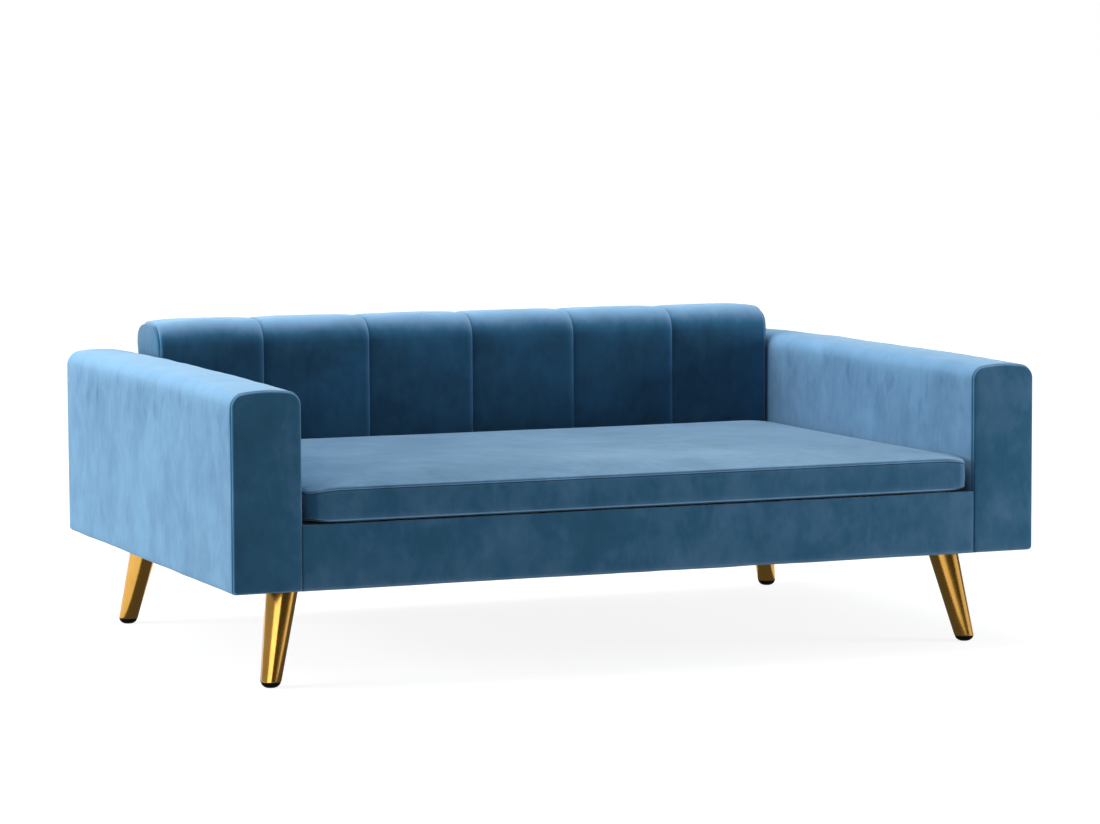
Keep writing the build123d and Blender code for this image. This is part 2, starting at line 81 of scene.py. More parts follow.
# Arms, facings and front rail
arm_shoulder = 0.016
arm_crown = 0.150
arm_rise = 0.0054  # how much fuller the arm's top is behind its front end
arm_rise_share = 0.82  # how much of that rise and fall fits on the arm
arm_rise_lean = 1.3
arm_rise_spread = 0.6
arm_fullness = 0.0009
arm_end_softness = 0.5  # the less, the nearer to its ends a cover is full
foot_edge = 0.005
rolled_edge = 0.0024
seam_step = 0.0014  # how far a facing's rim stands in from the cover that it is sewn to
seam_depth = 0.0017  # how far a cover's end stays back, so that the seam lies in a groove
foot_step = 0.0007
facing_depth = 0.0045
facing_pillow = 0.0010
facing_fill = (1.4, 4)  # how soon a facing is full, from its sides and from its ends
rail_edge = 0.0012
rail_end_edge = 0.0010
rail_tuck = 0.0014  # how far the rail's velvet is tucked in between the arms
rail_lip = 0.009  # behind this lip along its front edge the rail's top is drawn down
rail_drop = 0.0014
rail_fullness = 0.0008
rail_end_softness = 0.3
grid_step = 0.007
hair = 0.0002  # tolerance when picking by place

# Unevenness of the padding, in layers: how high, how wide, and where in the noise
arm_waves = ((0.0010, 0.085, 0.0), (0.0005, 0.036, 3.0))
facing_waves = ((0.0004, 0.05, 7.0),)
rail_waves = ((0.0006, 0.07, 0.0), (0.0004, 0.03, 5.0))
back_waves = ((0.0007, 0.06, 1.0),)
cushion_top_waves = ((0.0014, 0.11, 2.0),)
cushion_border_waves = ((0.0005, 0.05, 4.0),)

# Back
back_shoulder = 0.028
back_crown = 0.260
channel_count = 6
seam_pitch = 0.140
channel_roll = 0.014  # how far from its seam a channel is full
channel_depth = 0.0042
channel_crown = 0.0012
channel_start = 0.02  # how far above the seat the channels are full
channel_top_share = 0.5  # how much of their depth the channels keep over the top
channel_step = 0.010
seam_cuts = (0.0003, 0.0008, 0.0015, 0.0025, 0.004, 0.006, 0.009, 0.014)
seam_calm = 0.03  # how far from a seam the padding's unevenness is whole
end_fullness = 0.008  # the outer channels end as full as this far from a seam
end_droop = 0.0022  # how much lower the roll is at its ends
end_reach = 0.030
end_push = 0.0010  # how far an end panel stands out above the arm
end_push_height = 0.012
end_puff = 0.0012
skirt_lip = 0.025
skirt_reach = 0.0048  # how much further the rear's foot reaches, to close up to the arms
skirt_start = 0.002  # how far below the seat it starts to reach out
back_pressure = 3.0
back_swell = 0.0016
held_by_seam = 0.007  # within these distances the simulation leaves the back as it is
held_by_end = 0.012
held_by_rear = 0.02

# Cushion
cushion_corner = 0.014
corner_reach = 0.036  # how far from a corner the cushion softens
corner_sink = 0.006
corner_lift = 0.005
cushion_edge_round = 0.0012
cushion_top_round = 0.0030
cushion_crown = 0.0078
crown_reach_share = 0.45  # how much of the way to its middle the crown takes to rise
crown_steepness = 2.6
cushion_front_draw = -0.0008
cushion_end_draw = 0.003
cushion_step = 0.011
cushion_seam_height = 0.0404
cushion_rim_lift = 0.0014  # the cushion rests on its middle, and its rim stands off by this
rim_reach = 0.05
cushion_welts = (0.0018, 0.0370)  # heights over the cushion's underside
welt_half_width = 0.0009
welt_rise = 0.0008
welt_groove = 0.0005
welt_sharpness = 1.6
groove_offset_share = 1.4  # a groove's distance from its welt, by the welt's half width
groove_sharpness = 2.5
welt_cuts = (-0.0020, -0.0014, -0.0009, -0.0005, 0, 0.0005, 0.0009, 0.0014, 0.0020)
border_bulge = 0.0008
cushion_pressure = 2.0
cushion_swell = 0.002
zip_half_length = 0.320
zip_half_height = 0.005
zip_depth = 0.0016

# Legs and glides
leg_top_radius = 0.0188
leg_foot_radius = 0.0118
leg_rim = 0.0005
leg_rings = 11
glide_radius = 0.0112
glide_flat_radius = 0.005
round_sides = 96

# Cloths out of sight
deck_cloth_thickness = 0.0009
deck_cuts = (60, 36)
deck_ripple = 0.0006
deck_ripple_width = 0.05
dust_cuts = (80, 60)
dust_sag = 0.003
dust_ripple = 0.0005
dust_ripple_width = 0.06
leg_hole_gap = 0.0015
leg_hole_depth = 0.1
notch_rear = 1  # past the cloth, so that the notch is open at the rear and above
notch_top = 0.2

# Tones, from 0, dark, to 1, pale: each piece's own tone first, then what each place adds, which is mostly
# painted light and shade
arm_tones_and_painted_light = (0.56, 0.37, 0.06, -0.50)  # the side's own tone; painted light over the top, paler towards the foot, and painted shade in the groove at each end
shoulder_light_reach = 0.033  # how far down from the arm's top the painted light reaches
shoulder_light_focus = 2.5
arm_foot_reach = 0.20
rub_least = 0.25
rub_most = 0.85
rub_place = 0.036  # below the arm's top
rub_width = 0.026
front_tones_and_painted_light = (0.325, 0.26, 0.12, 0.55, 0.05)  # the front's own tone; painted sheen on the rim, facing right and along the foot, and painted light added a metre to the right
rail_tones_and_painted_light = (0.03, 0.03, -0.36)  # on top of the front's: all over, painted light added a metre to the right, and painted shade on the rim under the cushion
end_tone = 0.33
back_tones_and_painted_light = (0.50, -0.40, 0.43, 0.38)  # the rear's own tone; painted shade down the front, painted light over the roll, and painted sheen on the front where it faces right
cushion_tones_and_painted_light = (0.37, 0.14, 0.12, 0.45, -0.70, 0.10)  # the border's own tone; painted light on the top, painted sheen at the foot, painted highlights over the seams, painted shade on the underside, painted sheen facing right
# Painted sheen along the cushion's foot: how far above the lower welt it reaches
foot_highlight_width = 0.0040
welt_highlights = ((2.0, 0.0008), (0.3, 0.0014))  # how strongly and how widely each welt's painted highlight shows
# Painted shade on the cushion's underside: where it starts as the surface turns down, and how soon it is
# whole
underside_shade_start = 0.25
underside_shade_steepness = 3

# How much the tone with its painted light and shade, the patches, the strokes and the rubbed marks weigh in
# the velvet's tone
tone_and_light_weight = 0.8
patch_weight = 0.32
stroke_weight = 0.128
mark_weight = -0.096
tone_start = -0.024

# Studio
sky_colour = (0.86, 0.93, 1.0, 1.0)
sky_strength = 0.30
white = (1.0, 1.0, 1.0, 1.0)
floor_size = 60
floor_white = (0.86, 1.0)  # what the floor shows of itself, near and far, where 1 is white
floor_reach = (0.9, 2.4)
floor_share = 0.65  # how much of the floor is that, and the lamps add the rest
lamps = (  # name, place, what it shines on, size, watts
    ("top lamp", (-0.4, 0.6, 2.6), (0, 0.1, 0.2), (2.2, 1.6), 55),
    ("left lamp", (-3.0, 0.5, 0.7), (0, 0, 0.25), (1.6, 1.0), 73),
    ("high left lamp", (-3.2, 0.2, 1.7), (0, 0, 0.25), (1.8, 1.8), 20),
    ("right lamp", (2.4, -1.3, 0.5), (0.2, -0.3, 0.2), (0.9, 0.9), 37),
)
# Cards that only the legs' polish sees: painted reflections, bright and dark, which light nothing
standing_cards = (  # name, degrees to the left of the front, distance, width, foot, top, level
    ("bright_card", 37, 4.2, 3.1, 0, 2.6, 2.5),
    ("dark_front_card", -19, 4.2, 5.3, 0.45, 2.6, 0.05),
    ("grey_left_card", 104, 4.2, 7.4, 0, 2.6, 0.45),
    ("dark_rear_card", -118, 4.2, 5.5, 0, 2.6, 0.10),
    ("dark_near_card", -9, 1.28, 1.9, 0, 0.6, 0.06),
)
floor_card = ((0, -0.06, 0.001), (0.98, 0.74), 0.12)  # place, size and level of a dark card under the sofa that only polish sees: painted shade in the legs' reflections


# Shaping by hand

@contextmanager
def shaping(piece):
    """Edit mode on one piece, with nothing selected."""
    choose(piece)
    bpy.ops.object.mode_set(mode="EDIT")
    bpy.ops.mesh.select_all(action="DESELECT")
    yield
    bpy.ops.object.mode_set(mode="OBJECT")


def choose(piece):
    """Selects one piece and nothing else."""
    bpy.ops.object.select_all(action="DESELECT")
    piece.select_set(True)
    bpy.context.view_layer.objects.active = piece


def pick(piece, kind, wanted):
    """Selects the vertices, edges or faces that wanted() is true for, and nothing else."""
    bpy.ops.mesh.select_mode(type=kind)
    bpy.ops.mesh.select_all(action="DESELECT")
    mesh = bmesh.from_edit_mesh(piece.data)
    for item in {"VERT": mesh.verts, "EDGE": mesh.edges, "FACE": mesh.faces}[kind]:
        if wanted(item):
            item.select_set(True)
    bmesh.update_edit_mesh(piece.data)


def runs_along(edge, axis):
    """Whether an edge is parallel to an axis."""
    step = edge.verts[1].co - edge.verts[0].co
    return abs(step[axis]) > 0.999 * step.length


def lies_at(edge, axis, place):
    """Whether both ends of an edge are at a place along an axis."""
    return all(abs(vertex.co[axis] - place) < hair for vertex in edge.verts)


def lies_at_end(edge, axis, low, high):
    """Whether an edge lies at either end of a box along an axis."""
    return lies_at(edge, axis, low[axis]) or lies_at(edge, axis, high[axis])


def turns(edge):
    """Whether the faces at an edge meet at an angle."""
    return edge.calc_face_angle(0) > 0.2


def steps_between(first, last, count):
    """The places that divide a span into equal steps."""
    return [first + (last - first) * i / count for i in range(1, count)]


def slice_across(axis, places):
    """Cuts all faces of the piece in edit mode at each place along an axis."""
    direction = [0, 0, 0]
    direction[axis] = 1
    for place in places:
        point = [0, 0, 0]
        point[axis] = place
        bpy.ops.mesh.select_all(action="SELECT")
        bpy.ops.mesh.bisect(plane_co=point, plane_no=direction)


def ease_edges(piece, wanted, radius, segments):
    """Rounds the edges that wanted() picks."""
    pick(piece, "EDGE", wanted)
    bpy.ops.mesh.bevel(offset=radius, segments=segments, affect="EDGES")


def split_edges(piece, wanted, cuts):
    """Splits the strips between the edges that wanted() picks."""
    pick(piece, "EDGE", wanted)
    bpy.ops.mesh.subdivide(number_cuts=cuts)


def merge_close(piece, distance=hair / 4):
    """Joins points that lie on each other."""
    with shaping(piece):
        bpy.ops.mesh.select_all(action="SELECT")
        bpy.ops.mesh.remove_doubles(threshold=distance)
        bpy.ops.mesh.normals_make_consistent(inside=False)


def settle(piece):
    """Puts the piece's place, turn and scale into its mesh."""
    choose(piece)
    bpy.ops.object.transform_apply(location=True, rotation=True, scale=True)
    return piece


def added(shape, name, **settings):
    """A new object of one of the basic shapes."""
    bpy.ops.object.select_all(action="DESELECT")
    shape(**settings)
    piece = bpy.context.object
    piece.name = name
    return piece


def block(name, low, high):
    """A box between two corners."""
    low, high = Vector(low), Vector(high)
    cube = bpy.ops.mesh.primitive_cube_add
    piece = added(cube, name, size=1, location=(low + high) / 2, scale=high - low)
    piece.data.name = name
    return settle(piece)


def finish_with(piece, kind, **settings):
    """Adds a modifier, sets it and applies it."""
    choose(piece)
    modifier = piece.modifiers.new(kind.lower(), kind)
    for setting, value in settings.items():
        setattr(modifier, setting, value)
    bpy.ops.object.modifier_apply(modifier=modifier.name)


def smooth(piece, angle=40):
    """Smooth shading, but for edges sharper than the angle, in degrees."""
    choose(piece)
    bpy.ops.object.shade_smooth_by_angle(angle=radians(angle))


def mirrored(piece, name):
    """A copy on the other side of the sofa, with its own mesh."""
    twin = piece.copy()
    twin.data = piece.data.copy()
    twin.name = name
    twin.data.name = name
    bpy.context.scene.collection.objects.link(twin)
    twin.scale.x = -1
    settle(twin)
    with shaping(twin):
        bpy.ops.mesh.select_all(action="SELECT")
        bpy.ops.mesh.normals_make_consistent(inside=False)
    smooth(twin)
    return twin


def move_points(piece, change):
    """Moves each point by what change(place, normal) gives."""
    normals = [vertex.normal.copy() for vertex in piece.data.vertices]
    for vertex, normal in zip(piece.data.vertices, normals):
        vertex.co += change(vertex.co.copy(), normal)
    piece.data.update()


# Soft forms

def clamped(share):
    """A share, kept between 0 and 1."""
    return min(max(share, 0), 1)


def unevenness(place, size, seed=0.0):
    """A smooth value from -1 to 1 that changes over about size."""
    return noise.noise(place / size + Vector((seed, seed, seed)))


def waves(place, layers):
    """How far the padding stands out at a place, by its layers of unevenness."""
    return sum(height * unevenness(place, width, seed) for height, width, seed in layers)


def hump(distance, width):
    """1 at no distance, falling to 0 over about twice the width."""
    return exp(-(distance / width) ** 2)


def nearness(distance, reach):
    """1 at no distance, falling evenly to 0 at reach."""
    return max(0, 1 - max(0, distance) / reach)


def bowl(share):
    """0 at both ends of the span from 0 to 1, and 1 in its middle."""
    share = clamped(share)
    return 4 * share * (1 - share)


def upper_half(upward):
    """0 from the foot to half way up, then rising to 1 at the top."""
    return max(0, 2 * upward - 1) ** 2


def turned_away(part, steepness=1.5):
    """1 where a normal has no part along an axis, falling to 0 as the surface turns to face along it."""
    return max(0, 1 - steepness * abs(part))


def bowl_over(place, low, high):
    """0 at the sides of a box seen from above, and 1 in its middle."""
    return bowl((place.x - low.x) / (high.x - low.x)) * bowl((place.y - low.y) / (high.y - low.y))


def swell(piece, held, pressure, most, frames=20):
    """Cloth simulation: air presses the skin out from inside, but where held(place) is 1."""
    scene = bpy.context.scene
    rest = [vertex.co.copy() for vertex in piece.data.vertices]
    pins = piece.vertex_groups.new(name="sewn down")
    for vertex in piece.data.vertices:
        pins.add([vertex.index], held(vertex.co), "REPLACE")
    choose(piece)
    cloth = piece.modifiers.new("swelling", "CLOTH")
    cloth.settings.vertex_group_mass = pins.name
    cloth.settings.use_pressure = True
    cloth.settings.uniform_pressure_force = pressure
    cloth.settings.effector_weights.gravity = 0
    cloth.settings.quality = 8
    for number in range(1, frames + 1):
        scene.frame_set(number)
    bpy.ops.object.modifier_apply(modifier=cloth.name)
    scene.frame_set(1)
    for vertex, start in zip(piece.data.vertices, rest):
        move = vertex.co - start
        if move.length > 0:
            vertex.co = start + move * (most * tanh(move.length / most) / move.length)
    piece.vertex_groups.clear()
    piece.data.update()


# Padded bars with a crowned top

def crowned_bar(name, low, high, run, shoulder, crown):
    """A bar along axis run whose top has two rounded shoulders and a crown, met at a tangent."""
    low, high = Vector(low), Vector(high)
    across = 1 - run
    half = (high[across] - low[across]) / 2
    middle = (high[across] + low[across]) / 2
    lean = asin((half - shoulder) / (crown - shoulder))
    ridge = high.z + crown * (1 / cos(lean) - 1)
    corner = ridge - half * tan(lean)
    bar = block(name, low, (high.x, high.y, corner))
    with shaping(bar):
        slice_across(across, [middle])
        pick(bar, "VERT", lambda v: abs(v.co[across] - middle) < hair and v.co.z > corner - hair)
        bpy.ops.transform.translate(value=(0, 0, ridge - corner))
        ease_edges(bar, lambda e: runs_along(e, run) and lies_at(e, 2, ridge), crown * tan(lean), 8)
        ease_edges(bar, lambda e: runs_along(e, run) and lies_at(e, 2, corner),
                   shoulder * tan((pi / 2 - lean) / 2) - hair / 4, 7)
    return bar


def arm_lift(place, upward, fullness):
    """How much higher an arm's padding stands along its middle; upward is 0 at its foot and 1 at its top."""
    front, rear = construction_low.y, construction_high.y
    share = clamped((place.y - front) / (rear - front))
    along = bowl(arm_rise_share * share ** arm_rise_lean) ** arm_rise_spread
    return Vector((0, 0, arm_rise * along * upper_half(upward)))


def facing_panel(name, node, run, side, shoulder, crown, lift, foot=0.0):
    """A sewn-in end panel: its rim rolls into the seam, and its middle is a little pillowed."""
    across = 1 - run
    low, high = (Vector(end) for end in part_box(node))
    low[across] += seam_step
    high[across] -= seam_step
    low.z += foot_step
    high.z -= seam_step
    face = low[run] if side < 0 else high[run]
    back = face - side * facing_depth
    low[run], high[run] = min(face, back), max(face, back)
    panel = crowned_bar(name, low, high, run, shoulder - seam_step, crown - seam_step)
    if foot > 0:
        with shaping(panel):
            ease_edges(panel, lambda e: lies_at(e, 2, low.z) and runs_along(e, run), foot, 5)
    with shaping(panel):
        ease_edges(panel, lambda e: lies_at(e, run, face) and turns(e), rolled_edge, 5)
        for axis in (across, 2):
            cuts = round((high[axis] - low[axis]) / grid_step)
            slice_across(axis, steps_between(low[axis], high[axis], cuts))
    merge_close(panel)

    def pillow(place, normal):
        shares = [(place[axis] - low[axis]) / (high[axis] - low[axis]) for axis in (across, 2)]
        fullness = min(1, bowl(shares[0]) * facing_fill[0]) * min(1, bowl(shares[1]) * facing_fill[1])
        stuffing = facing_pillow + waves(place, facing_waves)
        return normal * stuffing * fullness * max(0, normal[run] * side) + lift(place, shares[1], fullness)

    move_points(panel, pillow)
    smooth(panel)
    return panel


# Arms

def arm_cover():
    """The right arm's velvet, over its sides and top."""
    low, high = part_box("right_arm_cover")
    low, high = low + Vector((0, seam_depth, 0)), high - Vector((0, seam_depth, 0))
    cover = crowned_bar("right_arm_velvet", low, high, 1, arm_shoulder, arm_crown)
    length, height = high.y - low.y, high.z - low.z
    with shaping(cover):
        ease_edges(cover, lambda e: lies_at(e, 2, low.z) and runs_along(e, 1), foot_edge, 4)
        ease_edges(cover, lambda e: lies_at_end(e, 1, low, high) and turns(e), rolled_edge, 4)
        split_edges(cover, lambda e: runs_along(e, 1) and e.calc_length() > length / 2,
                    round(length / grid_step))
        split_edges(cover, lambda e: runs_along(e, 2) and e.calc_length() > height / 2
                    and not lies_at_end(e, 1, low, high), round(height / grid_step))
    merge_close(cover)

    def padding(place, normal):
        along = bowl((place.y - low.y) / length) ** arm_end_softness
        upward = (place.z - low.z) / height
        fullness = arm_fullness * along * bowl(upward) * abs(normal.x)
        return arm_lift(place, upward, 1) + normal * (fullness + waves(place, arm_waves) * along)

    move_points(cover, padding)
    smooth(cover)
    return cover


def arms():
    """Both arms' covers and facings."""
    cover = arm_cover()
    form = (arm_shoulder, arm_crown, arm_lift, foot_edge - foot_step)
    front = facing_panel("right_arm_front_facing_velvet", "right_arm_front_facing", 1, -1, *form)
    rear = facing_panel("right_arm_rear_facing_velvet", "right_arm_rear_facing", 1, 1, *form)
    made = {}
    for piece, node in ((cover, "cover"), (front, "front_facing"), (rear, "rear_facing")):
        made["right_arm_" + node] = piece
        made["left_arm_" + node] = mirrored(piece, piece.name.replace("right", "left"))
    return made


# Front rail

def front_rail():
    """Velvet over the rail below the cushion."""
    low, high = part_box("front_rail_cover")
    low, high = low - Vector((rail_tuck, 0, 0)), high + Vector((rail_tuck, 0, 0))
    rail = block("front_rail_velvet", low, high)
    length, height = high.x - low.x, high.z - low.z
    with shaping(rail):
        for level, radius, segments in ((high.z, rail_edge, 6), (low.z, foot_edge, 5)):
            ease_edges(rail, lambda e: runs_along(e, 0) and lies_at(e, 1, low.y) and lies_at(e, 2, level),
                       radius, segments)
        ease_edges(rail, lambda e: lies_at_end(e, 0, low, high) and not lies_at(e, 1, high.y),
                   rail_end_edge, 4)
        split_edges(rail, lambda e: runs_along(e, 0), round(length / grid_step))
        split_edges(rail, lambda e: runs_along(e, 2) and e.calc_length() > height / 2
                    and not lies_at_end(e, 0, low, high), round(height / grid_step))
        slice_across(1, [low.y + rail_lip])
    merge_close(rail)

    def padding(place, normal):
        if place.z > high.z - hair and place.y > low.y + rail_lip - hair:
            return Vector((0, 0, -rail_drop))
        along = bowl((place.x - low.x) / length) ** rail_end_softness
        fullness = rail_fullness * along * bowl((place.z - low.z) / height) * abs(normal.y)
        return normal * (fullness + waves(place, rail_waves) * along)

    move_points(rail, padding)
    smooth(rail)
    return rail


# Back

def seam_distance(x):
    """Distance along the back to the nearest seam, and half the width of that channel."""
    outermost = channel_count // 2 - 1
    number = min(int(abs(x) / seam_pitch), outermost)
    inner = number * seam_pitch
    outer = back_half_length + end_fullness if number == outermost else inner + seam_pitch
    return max(0, min(abs(x) - inner, outer - abs(x))), (outer - inner) / 2


def back_lift(place, upward, fullness):
    """How the back's ends droop at the top, and how the end panels swell out above the arms."""
    to_end = max(0, back_half_length - abs(place.x))
    droop = end_droop * nearness(to_end, end_reach) ** 2 * upper_half(upward)
    above_arm = clamped((place.z - construction_arm_top) / end_push_height)
    swelling = (end_push + end_puff * fullness) * above_arm if to_end == 0 else 0
    return Vector((swelling if place.x > 0 else -swelling, 0, -droop))


def back_pad():
    """The channelled back, whose velvet runs on down the rear to the underside."""
    low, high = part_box("back_cover")
    low, high = low + Vector((seam_depth, 0, 0)), high - Vector((seam_depth, 0, 0))
    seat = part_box("deck_board")[1].z
    front = low.y + channel_depth + channel_crown
    top = high.z - (channel_depth + channel_crown) / 2
    pad = crowned_bar("back_velvet", (low.x, front, seat), (high.x, high.y, top), 0,
                      back_shoulder, back_crown)
    seams = [i * seam_pitch for i in range(1 - channel_count // 2, channel_count // 2)]
    places = list(seams)
    for seam in seams:
        places += [seam + side * cut for cut in seam_cuts for side in (-1, 1)]
    for first, last in zip([low.x] + seams, seams + [high.x]):
        places += steps_between(first, last, round((last - first) / channel_step))[1:-1]
    rows = int((high.z - back_shoulder - seat) / grid_step)
    with shaping(pad):
        slice_across(1, [high.y - skirt_lip])
        pick(pad, "FACE", lambda f: f.normal.z < -0.999 and f.calc_center_median().y > high.y - skirt_lip)
        bpy.ops.mesh.extrude_region_move(TRANSFORM_OT_translate={"value": (0, 0, low.z - seat)})
        ease_edges(pad, lambda e: runs_along(e, 0) and lies_at(e, 1, high.y) and lies_at(e, 2, low.z),
                   foot_edge, 4)
        ease_edges(pad, lambda e: lies_at_end(e, 0, low, high) and turns(e), rolled_edge, 4)
        slice_across(2, [seat - skirt_start] + [seat + grid_step * i for i in range(1, rows)])
        slice_across(0, sorted(places))
    merge_close(pad, hair / 2)

    def puff(place, normal):
        if place.z < seat - hair and abs(place.x) > high.x - 2 * rolled_edge:
            return Vector((skirt_reach if place.x > 0 else -skirt_reach, 0, 0))
        distance, half = seam_distance(place.x)
        roll = (1 - (1 - min(distance / channel_roll, 1)) ** 2) ** 0.5
        crown = 1 - (1 - min(distance / half, 1)) ** 2
        forward = clamped((high.y - place.y) / back_shoulder)
        sewn_side = max(0, -normal.y) + channel_top_share * max(0, normal.z) * forward
        depth = min(sewn_side, 1) * clamped((place.z - seat) / channel_start)
        wave = waves(place, back_waves) * min(1, distance / seam_calm)
        sinking = back_lift(place, clamped((place.z - seat) / (top - seat)), 0)
        return sinking + normal * ((channel_depth * roll + channel_crown * crown) * depth + wave)

    move_points(pad, puff)

    def sewn(place):
        at_seam = seam_distance(place.x)[0] < held_by_seam
        at_end = back_half_length - abs(place.x) < held_by_end
        at_rim = place.z < seat + channel_start or place.y > high.y - held_by_rear
        return 1.0 if at_rim or at_seam or at_end else 0.0

    swell(pad, sewn, back_pressure, back_swell)
    smooth(pad, angle=60)
    return pad


def back_ends():
    """The sewn-in panels at the back's two ends."""
    right = facing_panel("back_right_end_velvet", "back_right_end_panel", 0, 1,
                         back_shoulder, back_crown, back_lift)
    return right, mirrored(right, "back_left_end_velvet")


# Cushion

def cushion():
    """The loose mattress cushion: boxed border, crowned top, and a sewn ridge along each seam."""
    low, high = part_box("cushion_cover")
    seam = low.z + cushion_seam_height
    pad = block("cushion_velvet", low, (high.x, high.y, seam))
    zip_middle = (low.z + seam) / 2
    welts = [low.z + height for height in cushion_welts]
    heights = [zip_middle + side * zip_half_height for side in (-2, -1, 0, 1, 2)]
    heights += [height + cut for height in welts for cut in welt_cuts]
    with shaping(pad):
        ease_edges(pad, lambda e: runs_along(e, 2), cushion_corner, 8)
        ease_edges(pad, lambda e: lies_at(e, 2, low.z), cushion_edge_round, 5)
        ease_edges(pad, lambda e: lies_at(e, 2, seam), cushion_top_round, 4)
        for axis in (0, 1):
            cuts = round((high[axis] - low[axis]) / cushion_step)
            slice_across(axis, steps_between(low[axis], high[axis], cuts))
        slice_across(2, heights)
        slice_across(0, [-zip_half_length, zip_half_length])
    merge_close(pad, hair)
    half_x, half_y = (high.x - low.x) / 2, (high.y - low.y) / 2
    middle = (low + high) / 2

    def fill(place, normal):
        to_end, to_side = half_x - abs(place.x - middle.x), half_y - abs(place.y - middle.y)
        from_edge = min(to_end, to_side)
        rise = 0
        if place.z > seam - hair:
            share = clamped(from_edge / (crown_reach_share * half_y))
            rise = cushion_crown * (1 - (1 - share) ** crown_steepness)
            rise += waves(place, cushion_top_waves) * share
        draw_x = cushion_end_draw * bowl((place.y - low.y) / (2 * half_y))
        draw_y = cushion_front_draw * bowl((place.x - low.x) / (2 * half_x)) if place.y < middle.y else 0
        share_x = (place.x - middle.x) / half_x
        share_y = (place.y - middle.y) / half_y
        softness = nearness(Vector((to_end, to_side)).length, corner_reach) ** 2
        upward = (place.z - low.z) / cushion_seam_height
        rise += softness * (corner_lift * (1 - upward) - corner_sink * upward)
        rise += cushion_rim_lift * max(0, 1 - upward) * nearness(from_edge, rim_reach) ** 2
        on_border = turned_away(normal.z)
        ridge = sum(welt_rise * hump(place.z - height, welt_half_width / welt_sharpness)
                    - welt_groove * hump(abs(place.z - height) - welt_half_width * groove_offset_share,
                                         welt_half_width / groove_sharpness)
                    for height in welts)
        bulge = border_bulge * bowl((place.z - welts[0]) / (welts[1] - welts[0]))
        return (Vector((-draw_x * share_x ** 3, -draw_y * share_y ** 3, rise))
                + normal * (ridge + bulge + waves(place, cushion_border_waves)) * on_border)

    move_points(pad, fill)
    swell(pad, lambda place: 1.0 if place.z < seam + hair else 0.0, cushion_pressure, cushion_swell)
    with shaping(pad):
        pick(pad, "FACE", lambda f: f.normal.y > 0.9 and abs(f.calc_center_median().x) < zip_half_length
             and abs(f.calc_center_median().z - zip_middle) < zip_half_height)
        bpy.ops.mesh.extrude_region_move(TRANSFORM_OT_translate={"value": (0, -zip_depth, 0)})
    finish_with(pad, "SUBSURF", levels=1, render_levels=1)
    smooth(pad, angle=70)
    return pad


# Legs

def leg_centres(node):
    """Middle of a leg's foot and of its top, from its box: a leg leans outwards on the way down."""
    low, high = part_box(node)
    side = 1 if high.x > 0 else -1
    depth = -1 if low.y < 0 else 1
    outer_x, inner_x = (high.x, low.x) if side > 0 else (low.x, high.x)
    outer_y, inner_y = (high.y, low.y) if depth > 0 else (low.y, high.y)
    foot = Vector((outer_x - side * leg_foot_radius, outer_y - depth * leg_foot_radius, low.z))
    top = Vector((inner_x + side * leg_top_radius, inner_y + depth * leg_top_radius, 0))
    return foot, top


def leg(corner):
    """One tapered gold leg, its foot cut level with the floor."""
    foot, top = leg_centres(corner + "_leg")
    top_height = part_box("leg_plates")[0].z
    depth = top_height - foot.z
    tube = added(bpy.ops.mesh.primitive_cone_add, corner + "_gold_leg", vertices=round_sides, depth=depth,
                 radius1=leg_foot_radius, radius2=leg_top_radius,
                 location=(foot.x, foot.y, foot.z + depth / 2))
    settle(tube)
    with shaping(tube):
        pick(tube, "VERT", lambda v: v.co.z > top_height - hair)
        bpy.ops.transform.translate(value=(top.x - foot.x, top.y - foot.y, 0))
        ease_edges(tube, lambda e: lies_at(e, 2, foot.z), leg_rim, 3)
        slice_across(2, [foot.z + 3 * leg_rim])
        split_edges(tube, lambda e: e.calc_length() > depth / 2, leg_rings)
    smooth(tube)
    return tube


def glide(corner):
    """The black glide under a leg: a low dome, flat where it stands."""
    foot, _ = leg_centres(corner + "_leg")
    reach = foot.z / (1 - (glide_flat_radius / glide_radius) ** 2) ** 0.5
    dome = added(bpy.ops.mesh.primitive_uv_sphere_add, corner + "_black_glide", segments=64, ring_count=48,
                 radius=1, location=foot, scale=(glide_radius, glide_radius, reach))
    settle(dome)
    with shaping(dome):
        for height, cleared in ((0, "clear_inner"), (foot.z, "clear_outer")):
            bpy.ops.mesh.select_all(action="SELECT")
            bpy.ops.mesh.bisect(plane_co=(0, 0, height), plane_no=(0, 0, 1), use_fill=True, **{cleared: True})
    smooth(dome, angle=50)
    return dome


# Cloths out of sight

def divided_sheet(name, low, high, cuts):
    """A thin block, split into a grid along X and Y."""
    cloth = block(name, low, high)
    with shaping(cloth):
        for axis in (0, 1):
            split_edges(cloth, lambda e: runs_along(e, axis), cuts[axis])
    return cloth


def deck_cloth():
    """Black cloth over the deck, under the cushion."""
    low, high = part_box("deck_cloth")
    top = low.z + deck_cloth_thickness
    cloth = divided_sheet("deck_black_cloth", low, (high.x, high.y, top), deck_cuts)

    def ripple(place, normal):
        inside = bowl_over(place, low, high)
        return Vector((0, 0, deck_ripple * inside * (1 + unevenness(place, deck_ripple_width))))

    move_points(cloth, ripple)
    smooth(cloth)
    return cloth


